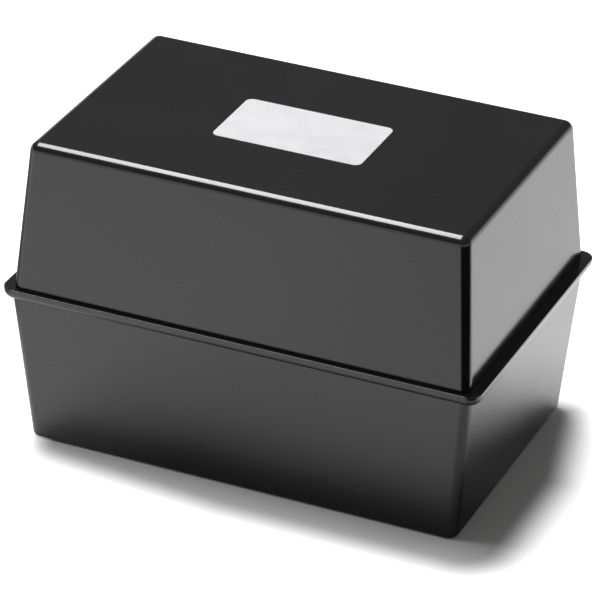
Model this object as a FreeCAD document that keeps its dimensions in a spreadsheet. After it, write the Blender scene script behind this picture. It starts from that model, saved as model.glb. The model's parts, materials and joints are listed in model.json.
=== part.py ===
import FreeCAD, Part
import math
import os

import Sketcher
from FreeCAD import Placement, Rotation, Vector

# Index card box: two drafted moulded shells that meet at a rim, a lid hinged at the back on two steel pins,
# a label on the lid and a set of lettered guide cards.
# Frame: +X along the width, +Y to the back with the hinges, +Z up, origin at the middle of the underside.
# All lengths are in millimetres and all angles in degrees.

DRIVING_SIZES = [
    # The index card, 6 by 4 inches, and the room that the box gives it
    ("card_width", 152.4, "width of the card"),
    ("card_height", 101.6, "height of the card"),
    ("card_play", 2.45, "room at each end of the card, at the floor"),
    ("stack_depth", 97.5, "depth of the card stack that the floor takes"),
    ("head_room", 2.3, "room over the tabs under the closed lid"),
    # Base shell
    ("base_height", 60.6, "desk to the ledge"),
    ("base_flare_x", 5.1, "how far each end wall leans out over the base's height"),
    ("base_flare_y", 5.0, "how far the front and back walls lean out"),
    ("base_wall", 2.0, "wall thickness"),
    ("base_floor", 2.4, "floor thickness"),
    ("base_corner", 3.7, "outer radius of the upright corners"),
    ("base_cavity_corner", 1.7, "inner radius of the upright corners"),
    ("foot_round", 1.6, "rounding of the lowest outer edge"),
    ("inner_round", 1.2, "rounding between walls and floor, and walls and lid top"),
    # Rim of the base
    ("rim_reach_x", 3.9, "how far the ledge stands out beyond the lid at each end"),
    ("rim_reach_y", 2.2, "how far it stands out at the front and the back"),
    ("rim_height", 4.3, "height of the rim's outer face"),
    ("rim_corner", 5.0, "corner radius of the rim, seen from above"),
    ("rim_top_round", 0.35, "rounding of the rim's upper edge"),
    ("rim_under_round", 1.4, "rounding of the rim's lower edge"),
    # Lid shell
    ("lid_setback", 0.95, "how far the lid's wall stands inside the base's wall at the ledge"),
    ("lid_taper_x", 4.4, "how far each end wall leans in over the lid's height"),
    ("lid_taper_y", 5.02, "how far the front and back walls lean in"),
    ("lid_top", 2.2, "thickness of the top"),
    ("lid_corner", 3.3, "outer radius of the upright corners"),
    ("lid_cavity_corner", 1.5, "inner radius of the upright corners"),
    ("lid_edge_round", 3.0, "rounding around the top"),
    ("lid_foot_round", 0.7, "rounding of the lower outer edge, which shows as a dark line on the ledge"),
    ("lip_depth", 2.0, "how deep the lid's lip drops into the base"),
    ("lip_play", 0.7, "room between the lip and the base's wall at the ledge"),
    ("lip_thickness", 0.8, "thickness of the lip"),
    ("lip_inset", 0.15, "how far the lip stands back from the lid's inner face"),
    # Hinges
    ("hinge_inset", 33.5, "end of the base's mouth to the middle of the hinge"),
    ("knuckle_width", 14.0, "width of the lid's knuckle"),
    ("ear_width", 5.0, "width of each ear of the base"),
    ("hinge_side_play", 0.3, "room between the knuckle and each ear"),
    ("knuckle_radius", 2.75, "radius of the knuckle and of the ears round the pin"),
    ("heel_reach", 3.0, "pin to the flat of the heel that stops the open lid"),
    ("stop_gap", 0.3, "room left between that flat and the rim when the lid is open"),
    ("arm_gap", 0.3, "room between the lid's arm and the ledge"),
    ("arm_thickness", 2.3, "thickness of the arm"),
    ("arm_round", 1.8, "rounding of the arm's outer corner"),
    ("open_angle", 100.0, "how far the lid opens"),
    ("pin_radius", 1.0, "radius of the steel pin"),
    ("pin_seat_play", 0.02, "radial room of the pin in the ears"),
    ("pin_running_play", 0.08, "radial room of the pin in the knuckle"),
    ("pin_chamfer", 0.25, "chamfer at the pin's ends"),
    ("overrun", 1.0, "how far a cut runs past what it cuts"),
    # Label
    ("label_width", 55.1, "along the lid"),
    ("label_depth", 31.3, "across the lid"),
    ("label_corner", 2.6, "corner radius"),
    ("label_forward", 0.8, "how far the label lies in front of the lid's middle"),
    ("label_thickness", 0.15, "thickness of the paper"),
    # Guide cards
    ("guide_thickness", 0.5, "thickness of the card"),
    ("guide_gap", 0.35, "room between neighbours"),
    ("guide_lift", 0.3, "floor to the lower edge"),
    ("guide_lean", 2.0, "how far the closed set leans back"),
    ("guide_back_play", 1.4, "room between the last tab and the closed lid"),
    ("guide_corner", 1.2, "corner radius of card and tab"),
    ("tab_height", 6.0, "height of the tab over the card"),
    ("tab_gap", 5.5, "room between neighbouring tab places"),
    ("tab_slope", 1.6, "how far each side of the tab leans in"),
    ("tab_count", 5, "tab places across the card, a plain number"),
]

DERIVED_SIZES = [
    # Base shell
    ("base_bottom_width", "card_width + 2 * (card_play + base_wall)"),
    ("base_bottom_depth", "stack_depth + 2 * base_wall"),
    ("base_top_width", "base_bottom_width + 2 * base_flare_x"),
    ("base_top_depth", "base_bottom_depth + 2 * base_flare_y"),
    ("floor_share", "base_floor / base_height"),
    ("base_floor_width", "base_bottom_width + 2 * base_flare_x * floor_share - 2 * base_wall"),
    ("base_floor_depth", "base_bottom_depth + 2 * base_flare_y * floor_share - 2 * base_wall"),
    ("base_mouth_width", "base_top_width - 2 * base_wall"),
    ("base_mouth_depth", "base_top_depth - 2 * base_wall"),
    # Lid shell, whose own zero height is at the ledge
    ("guide_height", "card_height + tab_height"),
    ("lid_height", "base_floor + guide_lift + guide_height + head_room + lid_top - base_height"),
    ("lid_wall", "base_wall + lip_play + lip_thickness + lip_inset - lid_setback"),
    ("lid_mouth_width", "base_top_width - 2 * lid_setback"),
    ("lid_mouth_depth", "base_top_depth - 2 * lid_setback"),
    ("lid_top_width", "lid_mouth_width - 2 * lid_taper_x"),
    ("lid_top_depth", "lid_mouth_depth - 2 * lid_taper_y"),
    ("lid_inner_height", "lid_height - lid_top"),
    ("roof_share", "lid_inner_height / lid_height"),
    ("lid_throat_width", "lid_mouth_width - 2 * lid_wall"),
    ("lid_throat_depth", "lid_mouth_depth - 2 * lid_wall"),
    ("lid_roof_width", "lid_throat_width - 2 * lid_taper_x * roof_share"),
    ("lid_roof_depth", "lid_throat_depth - 2 * lid_taper_y * roof_share"),
    ("lip_width", "base_mouth_width - 2 * lip_play"),
    ("lip_outer_depth", "base_mouth_depth - 2 * lip_play"),
    ("lip_inner_width", "lip_width - 2 * lip_thickness"),
    ("lip_inner_depth", "lip_outer_depth - 2 * lip_thickness"),
    ("lip_corner", "lid_cavity_corner + lip_thickness"),
    # Rim
    ("rim_width", "lid_mouth_width + 2 * rim_reach_x"),
    ("rim_depth", "lid_mouth_depth + 2 * rim_reach_y"),
    ("rim_under", "base_height - rim_height"),
    # Hinges, with heights from the ledge down for the lid and from the desk up for the base
    ("rim_back", "rim_depth / 2"),
    ("hinge_spread", "base_top_width / 2 - hinge_inset"),
    ("hinge_back", "rim_back + heel_reach + stop_gap"),
    ("hinge_height", "base_height - knuckle_radius"),
    ("block_root", "base_top_depth / 2 - base_wall / 2"),
    ("block_under", "base_height - 2 * knuckle_radius"),
    ("block_width", "knuckle_width + 2 * (hinge_side_play + ear_width)"),
    ("slot_width", "knuckle_width + 2 * hinge_side_play"),
    ("slot_back", "hinge_back + knuckle_radius + overrun"),
    ("slot_under", "block_under - overrun"),
    ("slot_over", "base_height + overrun"),
    ("ear_bore", "pin_radius + pin_seat_play"),
    ("knuckle_bore", "pin_radius + pin_running_play"),
    ("arm_root", "lid_mouth_depth / 2 - lid_wall / 2"),
    ("arm_front", "hinge_back - knuckle_radius"),
    ("arm_back", "hinge_back + knuckle_radius"),
    ("arm_over", "arm_gap + arm_thickness"),
    # Guide cards
    ("guide_foot", "base_floor + guide_lift"),
    ("guide_pitch", "guide_thickness + guide_gap"),
    ("tab_share", "(guide_foot + guide_height - base_height) / lid_height"),
    ("lid_back_at_tabs", "lid_throat_depth / 2 - lid_taper_y * tab_share"),
    ("guide_back", "lid_back_at_tabs - guide_back_play - guide_thickness - guide_height * sin(guide_lean)"),
    ("tab_pitch", "card_width / tab_count"),
    ("card_half", "card_width / 2"),
    ("tab_foot_half", "(tab_pitch - tab_gap) / 2"),
    ("tab_top_half", "tab_foot_half - tab_slope"),
]

# One guide card for each name, first letter at the front
GUIDE_NAMES = [
    "a", "b", "c", "d", "e", "f", "g", "h", "ij", "k",
    "l", "m", "n", "o", "pq", "r", "s", "t", "uv", "wz",
]

# How near two places have to be to count as the same
CLOSE = 1e-4

doc = FreeCAD.newDocument("index_card_box")
sizes = doc.addObject("Spreadsheet::Sheet", "Sizes")


def fill_sheet():
    """Writes the driving sizes as plain numbers and the sizes that follow from them as formulas."""
    row = 0
    for name, number, note in DRIVING_SIZES:
        row += 1
        sizes.set(f"A{row}", name)
        sizes.set(f"B{row}", str(number))
        sizes.setAlias(f"B{row}", name)
        sizes.set(f"C{row}", note)
    for name, formula in DERIVED_SIZES:
        row += 1
        sizes.set(f"A{row}", name)
        sizes.set(f"B{row}", "=" + formula)
        sizes.setAlias(f"B{row}", name)
    doc.recompute()


def size(name):
    """The number in a named cell; a leading minus turns its sign, and 0 stands for itself."""
    if name == 0:
        return 0.0
    return -float(getattr(sizes, name[1:])) if name[0] == "-" else float(getattr(sizes, name))


def cell(name):
    """The same cell as an expression."""
    return f"-Sizes.{name[1:]}" if name[0] == "-" else f"Sizes.{name}"


def new_body(label):
    body = doc.addObject("PartDesign::Body", label)
    body.Label = label
    return body


def origin_plane(body, role):
    return next(feature for feature in body.Origin.OriginFeatures if feature.Role == role)


def new_sketch(body, label, role, height=None):
    """A sketch on an origin plane of the body, moved along the plane's normal by a named size."""
    sketch = body.newObject("Sketcher::SketchObject", label)
    sketch.AttachmentSupport = [(origin_plane(body, role), "")]
    sketch.MapMode = "FlatFace"
    if height:
        sketch.AttachmentOffset = Placement(Vector(0, 0, size(height)), Rotation())
        sketch.setExpression("AttachmentOffset.Base.z", cell(height))
    return sketch


def dimension(sketch, constraint, name, alias):
    """Adds a constraint, names it and ties it to a cell, unless it is zero."""
    index = sketch.addConstraint(constraint)
    sketch.renameConstraint(index, name)
    if alias != 0:
        sketch.setExpression("Constraints." + name, cell(alias))


def draw_outline(sketch, corners):
    """A closed outline of straight lines whose corners are pairs of named sizes."""
    first = sketch.GeometryCount
    points = [Vector(size(across), size(up), 0) for across, up in corners]
    count = len(points)
    for i in range(count):
        sketch.addGeometry(Part.LineSegment(points[i], points[(i + 1) % count]), False)
    for i in range(count):
        following = first + (i + 1) % count
        sketch.addConstraint(Sketcher.Constraint("Coincident", first + i, 2, following, 1))
    for i in range(count):
        line = first + i
        across, up = corners[i]
        along = Sketcher.Constraint("DistanceX", -1, 1, line, 1, points[i].x)
        dimension(sketch, along, f"across_{line}", across)
        above = Sketcher.Constraint("DistanceY", -1, 1, line, 1, points[i].y)
        dimension(sketch, above, f"up_{line}", up)


def draw_circle(sketch, across, up, radius):
    """A circle whose centre and radius are named sizes."""
    circle = sketch.GeometryCount
    centre = Vector(size(across), size(up), 0)
    sketch.addGeometry(Part.Circle(centre, Vector(0, 0, 1), size(radius)), False)
    along = Sketcher.Constraint("DistanceX", -1, 1, circle, 3, centre.x)
    dimension(sketch, along, f"across_{circle}", across)
    above = Sketcher.Constraint("DistanceY", -1, 1, circle, 3, centre.y)
    dimension(sketch, above, f"up_{circle}", up)
    dimension(sketch, Sketcher.Constraint("Radius", circle, size(radius)), f"radius_{circle}", radius)


def draw_rounded_rectangle(sketch, width, depth, radius):
    """A rectangle with round corners, centred on the sketch's origin."""
    first = sketch.GeometryCount
    half_width, half_depth, round_off = size(width) / 2, size(depth) / 2, size(radius)
    flat_x, flat_y = half_width - round_off, half_depth - round_off
    sides = [
        (Vector(-flat_x, -half_depth, 0), Vector(flat_x, -half_depth, 0)),
        (Vector(half_width, -flat_y, 0), Vector(half_width, flat_y, 0)),
        (Vector(flat_x, half_depth, 0), Vector(-flat_x, half_depth, 0)),
        (Vector(-half_width, flat_y, 0), Vector(-half_width, -flat_y, 0)),
    ]
    centres = [(flat_x, -flat_y), (flat_x, flat_y), (-flat_x, flat_y), (-flat_x, -flat_y)]
    quarter = math.pi / 2
    for start, end in sides:
        sketch.addGeometry(Part.LineSegment(start, end), False)
    for turn, (x, y) in enumerate(centres):
        circle = Part.Circle(Vector(x, y, 0), Vector(0, 0, 1), round_off)
        sketch.addGeometry(Part.ArcOfCircle(circle, (turn - 1) * quarter, turn * quarter), False)
    for side in range(4):
        line, corner = first + side, first + 4 + side
        following = first + (side + 1) % 4
        direction = "Vertical" if side % 2 else "Horizontal"
        sketch.addConstraint(Sketcher.Constraint(direction, line))
        sketch.addConstraint(Sketcher.Constraint("Tangent", line, 2, corner, 1))
        sketch.addConstraint(Sketcher.Constraint("Tangent", corner, 2, following, 1))
    for corner in range(first + 5, first + 8):
        sketch.addConstraint(Sketcher.Constraint("Equal", first + 4, corner))
    sketch.addConstraint(Sketcher.Constraint("Symmetric", first, 1, first + 2, 1, -1, 1))
    across = Sketcher.Constraint("DistanceX", first + 3, 1, first + 1, 1, 2 * half_width)
    dimension(sketch, across, f"width_{first}", width)
    along = Sketcher.Constraint("DistanceY", first, 1, first + 2, 1, 2 * half_depth)
    dimension(sketch, along, f"depth_{first}", depth)
    dimension(sketch, Sketcher.Constraint("Radius", first + 4, round_off), f"radius_{first}", radius)


def rounded_sketch(body, label, outline, height=None):
    """A rounded rectangle, named width, depth and radius, at a named height over the body's XY plane."""
    sketch = new_sketch(body, label, "XY_Plane", height)
    draw_rounded_rectangle(sketch, *outline)
    return sketch


def wedge(body, kind, label, lower, upper, levels):
    """A block with four leaning sides, Additive or Subtractive, from width and depth at each of two levels."""
    feature = body.newObject(f"PartDesign::{kind}Wedge", label)
    feature.AttachmentSupport = [(origin_plane(body, "XZ_Plane"), "")]
    feature.MapMode = "FlatFace"
    for prefix, (width, depth) in (("{}", lower), ("{}2", upper)):
        for axis, alias in (("X", width), ("Z", depth)):
            name = prefix.format(axis)
            feature.setExpression(name + "min", f"-{cell(alias)} / 2")
            feature.setExpression(name + "max", f"{cell(alias)} / 2")
    for name, alias in zip(("Ymin", "Ymax"), levels):
        setattr(feature, name, size(alias))
        if alias != 0:
            feature.setExpression(name, cell(alias))
    doc.recompute()
    return feature


def pad(body, label, sketch, length, midplane=False, reverse=False):
    feature = body.newObject("PartDesign::Pad", label)
    feature.Profile = sketch
    feature.setExpression("Length", cell(length))
    feature.Midplane = midplane
    feature.Reversed = reverse
    doc.recompute()
    return feature


def cut_through(body, label, sketch, length):
    """A cut by a named length, half to each side of the sketch, which must take material away."""
    before = body.Shape.Volume
    feature = body.newObject("PartDesign::Pocket", label)
    feature.Profile = sketch
    feature.setExpression("Length", cell(length))
    feature.Midplane = True
    doc.recompute()
    if body.Shape.Volume >= before:
        raise RuntimeError(f"{label} cuts nothing")
    return feature


def round_edges(body, label, wanted, radius):
    """Rounds those edges of the body whose middle point passes the test."""
    base = body.Tip
    edges = []
    for number, edge in enumerate(base.Shape.Edges, start=1):
        middle = edge.valueAt((edge.FirstParameter + edge.LastParameter) / 2)
        if wanted(edge, middle):
            edges.append(f"Edge{number}")
    feature = body.newObject("PartDesign::Fillet", label)
    feature.Base = (base, edges)
    feature.setExpression("Radius", cell(radius))
    doc.recompute()
    return feature


def spans(edge, low, high):
    """True for an edge that runs from one named level to another."""
    box = edge.BoundBox
    return abs(box.ZMin - size(low)) < CLOSE and abs(box.ZMax - size(high)) < CLOSE


def is_level(edge, level):
    """True for an edge that lies at a named level."""
    return spans(edge, level, level)


def mirror_hinge(body, label, features):
    """Repeats the right hinge's features at the left."""
    feature = body.newObject("PartDesign::Mirrored", label)
    feature.Originals = features
    feature.MirrorPlane = (origin_plane(body, "YZ_Plane"), [""])
    body.Tip = feature
    doc.recompute()
    return feature


def build_base_tub():
    """Lower shell: drafted walls, rim with the ledge, two pairs of hinge ears and cavity."""
    body = new_body("base_tub")
    bottom, top = ("base_bottom_width", "base_bottom_depth"), ("base_top_width", "base_top_depth")
    wedge(body, "Additive", "TubOutside", bottom, top, (0, "base_height"))
    round_edges(body, "TubCorners", lambda edge, middle: spans(edge, 0, "base_height"), "base_corner")
    round_edges(body, "TubFootRound", lambda edge, middle: is_level(edge, 0), "foot_round")

    rim = rounded_sketch(body, "RimOutline", ("rim_width", "rim_depth", "rim_corner"), "rim_under")
    pad(body, "Rim", rim, "rim_height")
    round_edges(body, "RimTopRound", lambda edge, middle: is_level(edge, "base_height"), "rim_top_round")
    wall_x, wall_y = size("base_top_width") / 2, size("base_top_depth") / 2

    def is_rim_under(edge, middle):
        outside = abs(middle.x) > wall_x or abs(middle.y) > wall_y
        return is_level(edge, "rim_under") and outside

    round_edges(body, "RimUnderRound", is_rim_under, "rim_under_round")

    block = new_sketch(body, "EarBlockProfile", "YZ_Plane", "hinge_spread")
    draw_outline(block, [
        ("block_root", "block_under"), ("hinge_back", "block_under"),
        ("hinge_back", "base_height"), ("block_root", "base_height"),
    ])
    ear_block = pad(body, "EarBlock", block, "block_width", midplane=True)
    nose = new_sketch(body, "EarNoseProfile", "YZ_Plane", "hinge_spread")
    draw_circle(nose, "hinge_back", "hinge_height", "knuckle_radius")
    ear_nose = pad(body, "EarNose", nose, "block_width", midplane=True)
    slot = new_sketch(body, "KnuckleSlotProfile", "YZ_Plane", "hinge_spread")
    draw_outline(slot, [
        ("rim_back", "slot_under"), ("slot_back", "slot_under"),
        ("slot_back", "slot_over"), ("rim_back", "slot_over"),
    ])
    knuckle_slot = cut_through(body, "KnuckleSlot", slot, "slot_width")
    bore = new_sketch(body, "EarBoreProfile", "YZ_Plane", "hinge_spread")
    draw_circle(bore, "hinge_back", "hinge_height", "ear_bore")
    ear_bore = cut_through(body, "EarBore", bore, "block_width")
    mirror_hinge(body, "LeftEars", [ear_block, ear_nose, knuckle_slot, ear_bore])

    floor, mouth = ("base_floor_width", "base_floor_depth"), ("base_mouth_width", "base_mouth_depth")
    wedge(body, "Subtractive", "Cavity", floor, mouth, ("base_floor", "base_height"))
    round_edges(
        body, "CavityCorners", lambda edge, middle: spans(edge, "base_floor", "base_height"),
        "base_cavity_corner",
    )
    round_edges(body, "CavityRound", lambda edge, middle: is_level(edge, "base_floor"), "inner_round")
    return body


def build_lid_shell():
    """Upper shell, drawn from the ledge up: drafted walls, round top edge, lip and two hinge arms."""
    body = new_body("lid_shell")
    mouth, top = ("lid_mouth_width", "lid_mouth_depth"), ("lid_top_width", "lid_top_depth")
    wedge(body, "Additive", "LidOutside", mouth, top, (0, "lid_height"))
    round_edges(body, "LidCorners", lambda edge, middle: spans(edge, 0, "lid_height"), "lid_corner")
    round_edges(body, "LidTopRound", lambda edge, middle: is_level(edge, "lid_height"), "lid_edge_round")
    round_edges(body, "LidFootRound", lambda edge, middle: is_level(edge, 0), "lid_foot_round")

    arm = new_sketch(body, "ArmProfile", "YZ_Plane", "hinge_spread")
    draw_outline(arm, [
        ("arm_root", "arm_gap"), ("arm_front", "arm_gap"), ("arm_front", "-knuckle_radius"),
        ("arm_back", "-knuckle_radius"), ("arm_back", "arm_over"), ("arm_root", "arm_over"),
    ])
    hinge_arm = pad(body, "HingeArm", arm, "knuckle_width", midplane=True)
    knuckle = new_sketch(body, "KnuckleProfile", "YZ_Plane", "hinge_spread")
    draw_circle(knuckle, "hinge_back", "-knuckle_radius", "knuckle_radius")
    hinge_knuckle = pad(body, "Knuckle", knuckle, "knuckle_width", midplane=True)
    heel = new_sketch(body, "HeelProfile", "YZ_Plane")
    heel.AttachmentOffset = Placement(
        Vector(size("hinge_back"), size("-knuckle_radius"), size("hinge_spread")),
        Rotation(Vector(0, 0, 1), size("open_angle") - 90),
    )
    heel.setExpression("AttachmentOffset.Base.x", cell("hinge_back"))
    heel.setExpression("AttachmentOffset.Base.y", cell("-knuckle_radius"))
    heel.setExpression("AttachmentOffset.Base.z", cell("hinge_spread"))
    heel.setExpression("AttachmentOffset.Rotation.Angle", "Sizes.open_angle - 90")
    draw_outline(heel, [
        (0, "-heel_reach"), ("knuckle_radius", "-heel_reach"),
        ("knuckle_radius", 0), (0, 0),
    ])
    hinge_heel = pad(body, "Heel", heel, "knuckle_width", midplane=True)
    bore = new_sketch(body, "KnuckleBoreProfile", "YZ_Plane", "hinge_spread")
    draw_circle(bore, "hinge_back", "-knuckle_radius", "knuckle_bore")
    knuckle_bore = cut_through(body, "KnuckleBore", bore, "knuckle_width")
    mirror_hinge(body, "LeftArm", [hinge_arm, hinge_knuckle, hinge_heel, knuckle_bore])
    arm_back, arm_over = size("arm_back"), size("arm_over")

    def is_arm_corner(edge, middle):
        return abs(middle.y - arm_back) < CLOSE and abs(middle.z - arm_over) < CLOSE

    round_edges(body, "ArmRound", is_arm_corner, "arm_round")

    throat, ceiling = ("lid_throat_width", "lid_throat_depth"), ("lid_roof_width", "lid_roof_depth")
    wedge(body, "Subtractive", "LidCavity", throat, ceiling, (0, "lid_inner_height"))
    round_edges(
        body, "LidCavityCorners", lambda edge, middle: spans(edge, 0, "lid_inner_height"),
        "lid_cavity_corner",
    )
    round_edges(
        body, "LidCavityRound", lambda edge, middle: is_level(edge, "lid_inner_height"), "inner_round"
    )

    lip = rounded_sketch(body, "LipOutline", ("lip_width", "lip_outer_depth", "lip_corner"))
    draw_rounded_rectangle(lip, "lip_inner_width", "lip_inner_depth", "lid_cavity_corner")
    pad(body, "Lip", lip, "lip_depth", reverse=True)

    body.setExpression("Placement.Base.z", cell("base_height"))
    return body


def build_lid_label():
    """Stick-on label, flat on the lid's top."""
    body = new_body("lid_label")
    outline = rounded_sketch(body, "LabelOutline", ("label_width", "label_depth", "label_corner"))
    pad(body, "LabelPaper", outline, "label_thickness")
    body.setExpression("Placement.Base.y", cell("-label_forward"))
    body.setExpression("Placement.Base.z", "Sizes.base_height + Sizes.lid_height")
    return body


def build_hinge_pin(label, side):
    """Steel pin through both ears and the knuckle; side is 1 at the right and -1 at the left."""
    body = new_body(label)
    section = new_sketch(body, "PinSection_" + label, "YZ_Plane")
    draw_circle(section, 0, 0, "pin_radius")
    rod = pad(body, "PinRod_" + label, section, "block_width", midplane=True)
    ends = body.newObject("PartDesign::Chamfer", "PinEnds_" + label)
    ends.Base = (rod, [f"Edge{n}" for n, edge in enumerate(rod.Shape.Edges, 1) if edge.Closed])
    ends.setExpression("Size", cell("pin_chamfer"))
    body.setExpression("Placement.Base.x", f"{side} * Sizes.hinge_spread")
    body.setExpression("Placement.Base.y", cell("hinge_back"))
    body.setExpression("Placement.Base.z", cell("hinge_height"))
    return body


def build_guide_card(place, name):
    """Guide card with its tab; place counts from the front, and the tabs step from left to right."""
    body = new_body("guide_card_" + name)
    plate = new_sketch(body, "Card_" + name, "XZ_Plane")
    draw_outline(plate, [
        ("-card_half", 0), ("card_half", 0),
        ("card_half", "card_height"), ("-card_half", "card_height"),
    ])
    pad(body, "CardPlate_" + name, plate, "guide_thickness", reverse=True)
    tab = new_sketch(body, "Tab_" + name, "XZ_Plane")
    step = place % int(size("tab_count"))
    tab.setExpression(
        "AttachmentOffset.Base.x", f"({step} - (Sizes.tab_count - 1) / 2) * Sizes.tab_pitch"
    )
    draw_outline(tab, [
        ("-tab_foot_half", "card_height"), ("tab_foot_half", "card_height"),
        ("tab_top_half", "guide_height"), ("-tab_top_half", "guide_height"),
    ])
    pad(body, "TabPlate_" + name, tab, "guide_thickness", reverse=True)

    def is_corner(edge, middle):
        box = edge.BoundBox
        return box.XLength < CLOSE and box.ZLength < CLOSE

    round_edges(body, "CardCorners_" + name, is_corner, "guide_corner")
    behind = len(GUIDE_NAMES) - 1 - place
    body.Placement = Placement(Vector(0, 0, 0), Rotation(Vector(-1, 0, 0), size("guide_lean")))
    body.setExpression("Placement.Base.y", f"Sizes.guide_back - {behind} * Sizes.guide_pitch")
    body.setExpression("Placement.Base.z", cell("guide_foot"))
    body.setExpression("Placement.Rotation.Angle", cell("guide_lean"))
    return body


def main():
    fill_sheet()
    bodies = [build_base_tub(), build_lid_shell(), build_lid_label()]
    bodies.append(build_hinge_pin("hinge_pin_left", -1))
    bodies.append(build_hinge_pin("hinge_pin_right", 1))
    for place, name in enumerate(GUIDE_NAMES):
        bodies.append(build_guide_card(place, name))
    doc.recompute()

    for item in doc.Objects:
        if "Invalid" in item.State or "Error" in item.State:
            raise RuntimeError(f"{item.Label} did not build: {item.State}")
    for body in bodies:
        shape = body.Shape
        if shape.isNull() or not shape.isValid() or len(shape.Solids) != 1:
            raise RuntimeError(f"{body.Label} is not one valid solid")
    os.makedirs("parts", exist_ok=True)
    for body in bodies:
        body.Shape.exportStep(f"parts/{body.Label}.step")
        box = body.Shape.BoundBox
        print(f"{body.Label:20s} {body.Shape.Volume:10.1f} mm3  x {box.XMin:7.2f} {box.XMax:7.2f}"
              f"  y {box.YMin:7.2f} {box.YMax:7.2f}  z {box.ZMin:7.2f} {box.ZMax:7.2f}")


main()
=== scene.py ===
import json
import logging
import math
from contextlib import contextmanager
from dataclasses import dataclass, field
from enum import Enum, IntEnum
from typing import Callable, Iterator

import bmesh
import bpy
from mathutils import Matrix, Vector


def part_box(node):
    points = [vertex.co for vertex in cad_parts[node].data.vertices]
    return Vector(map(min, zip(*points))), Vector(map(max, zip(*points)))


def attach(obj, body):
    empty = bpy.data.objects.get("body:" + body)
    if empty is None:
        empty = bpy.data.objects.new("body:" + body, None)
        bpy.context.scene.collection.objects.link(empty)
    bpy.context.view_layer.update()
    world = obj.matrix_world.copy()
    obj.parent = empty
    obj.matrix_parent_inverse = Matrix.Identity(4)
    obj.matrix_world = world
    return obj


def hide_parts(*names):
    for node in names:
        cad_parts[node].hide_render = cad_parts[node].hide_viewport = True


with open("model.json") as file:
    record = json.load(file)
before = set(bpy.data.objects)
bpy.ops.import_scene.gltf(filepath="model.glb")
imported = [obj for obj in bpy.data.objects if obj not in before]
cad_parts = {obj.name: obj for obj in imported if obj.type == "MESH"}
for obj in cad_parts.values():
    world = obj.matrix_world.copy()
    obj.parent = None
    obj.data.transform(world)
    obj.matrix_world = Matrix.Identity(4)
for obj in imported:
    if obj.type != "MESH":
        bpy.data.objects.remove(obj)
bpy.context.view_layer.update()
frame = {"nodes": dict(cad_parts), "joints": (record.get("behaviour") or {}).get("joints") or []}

MM = 0.001
NEAR = 1e-6
SMOOTH_TURN = math.radians(35)
log = logging.getLogger("index_card_box")

Pair = tuple[float, float]
Point = tuple[float, float, float]

WHITE = (1.0, 1.0, 1.0, 1.0)
BLACK = (0.0, 0.0, 0.0, 1.0)
NONE_TO_ALL = (0.0, 1.0)
MIDDLE_GREYS = (0.3, 0.7)


class Pick(Enum):
    """What a selection in edit mode is made of."""

    CORNERS = "VERT"
    EDGES = "EDGE"
    FACES = "FACE"


class Join(Enum):
    """How one solid is combined with another."""

    ADD = "UNION"
    CUT = "DIFFERENCE"


class Facets(IntEnum):
    """How many facets make a rounding or an arc, enough for its size not to show them."""

    EAR = 24
    HEEL = 16
    WIDE = 14
    BROAD = 10
    MIDDLE = 8
    SMALL = 6
    LOW = 5
    SLIM = 4
    FINE = 3
    HAIR = 2


def deselect_all() -> None:
    """Leaves object mode with nothing selected."""
    if bpy.context.mode != "OBJECT":
        bpy.ops.object.mode_set(mode="OBJECT")
    bpy.ops.object.select_all(action="DESELECT")


def pick_only(piece: bpy.types.Object) -> None:
    """Selects one piece alone and makes it the active one."""
    deselect_all()
    piece.select_set(True)
    bpy.context.view_layer.objects.active = piece


@contextmanager
def editing(piece: bpy.types.Object) -> Iterator[None]:
    """Opens a piece in edit mode with nothing selected, and closes it again.

    Args:
        piece: the mesh to edit.
    """
    pick_only(piece)
    bpy.ops.object.mode_set(mode="EDIT")
    bpy.ops.mesh.select_all(action="DESELECT")
    yield
    bpy.ops.object.mode_set(mode="OBJECT")


def select(piece: bpy.types.Object, pick: Pick, wanted: Callable[..., bool]) -> None:
    """Selects, in edit mode, the corners, edges or faces that pass a test.

    Args:
        piece: the piece that is open in edit mode.
        pick: what the selection is made of.
        wanted: the test, given one corner, edge or face.
    """
    bpy.ops.mesh.select_mode(type=pick.value)
    mesh = bmesh.from_edit_mesh(piece.data)
    parts = {Pick.CORNERS: mesh.verts, Pick.EDGES: mesh.edges, Pick.FACES: mesh.faces}[pick]
    for part in parts:
        part.select_set(wanted(part))
    bmesh.update_edit_mesh(piece.data)


def name_active(name: str) -> bpy.types.Object:
    """Names the object that an operator has just added.

    Args:
        name: a plain name, used for the object and its mesh.

    Returns:
        The object.
    """
    piece = bpy.context.active_object
    piece.name = name
    piece.data.name = name
    return piece


def add_block(name: str, lower: Pair, upper: Pair, levels: Pair) -> bpy.types.Object:
    """A block with four leaning sides, centred over the origin.

    Args:
        name: the block's name.
        lower: width and depth at the lower level.
        upper: width and depth at the upper level.
        levels: heights of the two levels.

    Returns:
        The block, with its place in its mesh.
    """
    low, high = levels
    deselect_all()
    bpy.ops.mesh.primitive_cube_add(size=1.0)
    piece = name_active(name)
    with editing(piece):
        bpy.ops.mesh.select_all(action="SELECT")
        bpy.ops.transform.resize(value=(lower[0], lower[1], high - low), center_override=(0, 0, 0))
        bpy.ops.transform.translate(value=(0, 0, (low + high) / 2))
        bpy.ops.mesh.select_all(action="DESELECT")
        middle = (low + high) / 2
        select(piece, Pick.CORNERS, lambda corner: corner.co.z > middle)
        stretch = (upper[0] / lower[0], upper[1] / lower[1], 1)
        bpy.ops.transform.resize(value=stretch, center_override=(0, 0, high))
    return piece


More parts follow.
